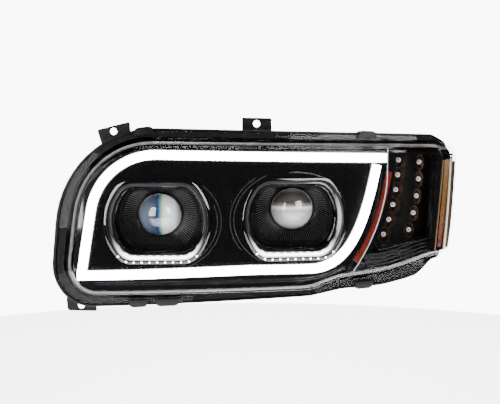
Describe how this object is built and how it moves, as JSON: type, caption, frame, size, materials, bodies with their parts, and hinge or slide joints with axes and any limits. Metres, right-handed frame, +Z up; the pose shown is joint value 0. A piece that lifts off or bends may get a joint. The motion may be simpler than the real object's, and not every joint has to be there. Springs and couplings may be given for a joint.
{
  "type": "car headlight assembly",
  "caption": "Left-hand truck headlight assembly: clear swept-back lens over two projectors with halo rings, a white light bar and an amber LED turn signal, in a black housing.",
  "frame": {"origin": "rear face of the upper centre bracket, beside its bolt hole", "axes": "+X outboard along the face, +Y backwards into the vehicle, +Z up; the lamp shines towards -Y"},
  "size_m": [0.6683, 0.26, 0.3133],
  "materials": {
    "housing": "moulded black plastic",
    "clear_lens": "clear hard-coated polycarbonate",
    "sealant": "butyl sealant",
    "gloss_black": "high gloss black",
    "light_guide": "lit white diffuser",
    "board": "printed circuit board",
    "amber_lens": "amber reflector",
    "optical_glass": "polished glass",
    "cast_alloy": "as cast",
    "bright_steel": "bright plated",
    "black_steel": "black coated",
    "rubber": "moulded rubber",
    "nylon": "natural nylon"
  },
  "bodies": {
    "housing_body": {"housing": "housing", "outer_lens": "clear_lens", "lens_seal": "sealant", "inner_bezel": "gloss_black", "light_bar": "light_guide", "light_bar_board": "board", "turn_signal_panel": "gloss_black", "turn_signal_board": "board", "amber_reflector_strip": "amber_lens", "side_reflector": "amber_lens", "low_shroud": "gloss_black", "low_halo": "light_guide", "low_pivot_yoke": "black_steel", "low_aim_body": "nylon", "high_shroud": "gloss_black", "high_halo": "light_guide", "high_pivot_yoke": "black_steel", "high_aim_body": "nylon", "vent_cap_1": "rubber", "vent_cap_2": "rubber", "connector_socket": "housing", "driver_module": "cast_alloy", "rim_clip_1": "black_steel", "rim_clip_2": "black_steel", "rim_clip_3": "black_steel", "rim_clip_4": "black_steel", "rim_clip_5": "black_steel", "upper_centre_bracket": "housing", "upper_inner_bracket": "housing", "lower_inner_bracket": "housing"},
    "low_projector": {"low_projector_lens": "optical_glass", "low_lens_mask": "gloss_black", "low_lens_carrier": "cast_alloy", "low_aim_frame": "cast_alloy", "low_reflector": "bright_steel", "low_bulb_glass": "optical_glass", "low_bulb_base": "nylon", "low_bulb_retainer": "bright_steel", "low_cutoff_shield": "bright_steel"},
    "low_stud": {"low_aim_stud": "bright_steel"},
    "low_knob": {"low_aim_knob": "nylon"},
    "low_cap": {"low_dust_cap": "rubber", "low_cap_seal": "rubber"},
    "high_projector": {"high_projector_lens": "optical_glass", "high_lens_mask": "gloss_black", "high_lens_carrier": "cast_alloy", "high_aim_frame": "cast_alloy", "high_reflector": "bright_steel", "high_bulb_glass": "optical_glass", "high_bulb_base": "nylon", "high_bulb_retainer": "bright_steel"},
    "high_stud": {"high_aim_stud": "bright_steel"},
    "high_knob": {"high_aim_knob": "nylon"},
    "high_cap": {"high_dust_cap": "rubber", "high_cap_seal": "rubber"}
  },
  "joints": [
    {"name": "low_knob_turn", "type": "hinge", "parent": "housing_body", "child": "low_knob", "pos_m": [-0.1702, 0.162, -0.2085], "axis": [0, 1, 0], "range_deg": [-450, 450]},
    {"name": "low_stud_slide", "type": "slide", "parent": "housing_body", "child": "low_stud", "axis": [0, 1, 0], "range_m": [-0.0032, 0.0032]},
    {"name": "low_tilt", "type": "hinge", "parent": "housing_body", "child": "low_projector", "pos_m": [-0.1702, 0.038, -0.1465], "axis": [1, 0, 0], "range_deg": [-3, 3]},
    {"name": "low_cap_twist", "type": "hinge", "parent": "housing_body", "child": "low_cap", "pos_m": [-0.1702, 0.171, -0.1465], "axis": [0, 1, 0], "range_deg": [0, 45]},
    {"name": "high_knob_turn", "type": "hinge", "parent": "housing_body", "child": "high_knob", "pos_m": [0.045, 0.162, -0.202], "axis": [0, 1, 0], "range_deg": [-450, 450]},
    {"name": "high_stud_slide", "type": "slide", "parent": "housing_body", "child": "high_stud", "axis": [0, 1, 0], "range_m": [-0.0032, 0.0032]},
    {"name": "high_tilt", "type": "hinge", "parent": "housing_body", "child": "high_projector", "pos_m": [0.045, 0.064, -0.14], "axis": [1, 0, 0], "range_deg": [-3, 3]},
    {"name": "high_cap_twist", "type": "hinge", "parent": "housing_body", "child": "high_cap", "pos_m": [0.045, 0.171, -0.14], "axis": [0, 1, 0], "range_deg": [0, 45]}
  ],
  "couplings": [
    {"joint": "low_stud_slide", "follows": "low_knob_turn", "m_per_rad": 0.00039789},
    {"joint": "low_tilt", "follows": "low_knob_turn", "ratio": 0.0064175},
    {"joint": "high_stud_slide", "follows": "high_knob_turn", "m_per_rad": 0.00039789},
    {"joint": "high_tilt", "follows": "high_knob_turn", "ratio": 0.0064175}
  ]
}
